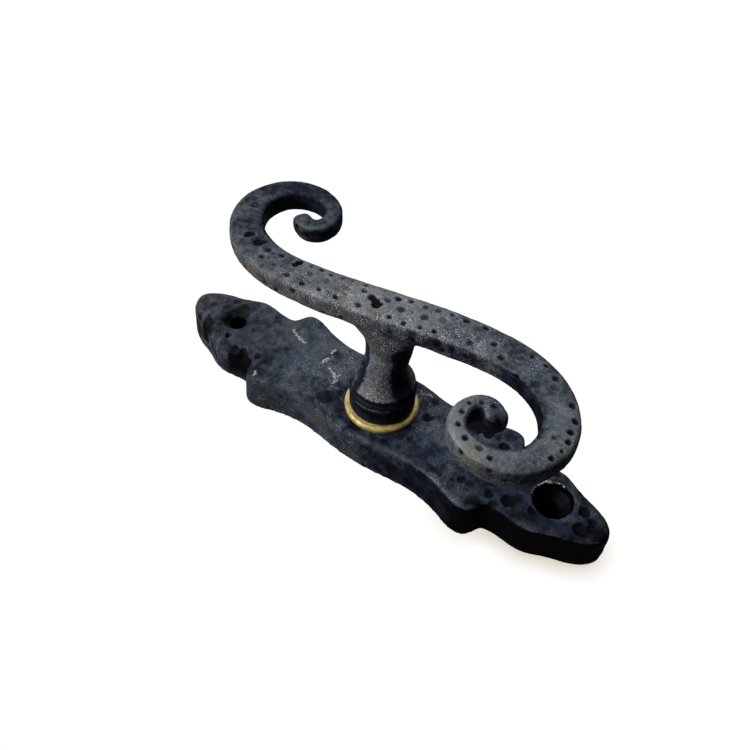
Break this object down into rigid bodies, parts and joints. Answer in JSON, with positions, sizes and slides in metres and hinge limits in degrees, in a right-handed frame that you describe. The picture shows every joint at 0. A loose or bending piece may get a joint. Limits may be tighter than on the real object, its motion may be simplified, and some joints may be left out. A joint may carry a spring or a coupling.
{
  "type": "scroll window handle",
  "caption": "S-shaped scroll lever with a turned neck that rotates on a long wavy-edged iron backplate, for opening and fastening a casement window.",
  "frame": {"origin": "on the turning axis, in the plane of the backplate's back face", "axes": "+X along the backplate, +Z away from the window, along the turning axis towards the lever"},
  "size_m": [0.1618, 0.0618, 0.058],
  "materials": {
    "backplate": "hammered, matt blue-black",
    "scroll_handle": "dimpled, matt blue-black",
    "brass_bush": "turned, unpolished",
    "spring_steel": "blued",
    "zinc_steel": "zinc plated"
  },
  "bodies": {
    "plate": {"backplate": "backplate", "brass_bush": "brass_bush", "wave_washer": "spring_steel", "detent_spring_left": "spring_steel", "detent_spring_right": "spring_steel", "spring_screw_left": "zinc_steel", "spring_screw_right": "zinc_steel"},
    "handle": {"scroll_handle": "scroll_handle", "stop_washer": "zinc_steel", "index_cam": "zinc_steel", "retaining_clip": "spring_steel"}
  },
  "joints": [
    {"name": "handle_turn", "type": "hinge", "parent": "plate", "child": "handle", "pos_m": [0, 0, 0], "axis": [0, 0, 1], "range_deg": [-90, 90], "deforming": ["detent_spring_left", "detent_spring_right"]}
  ]
}
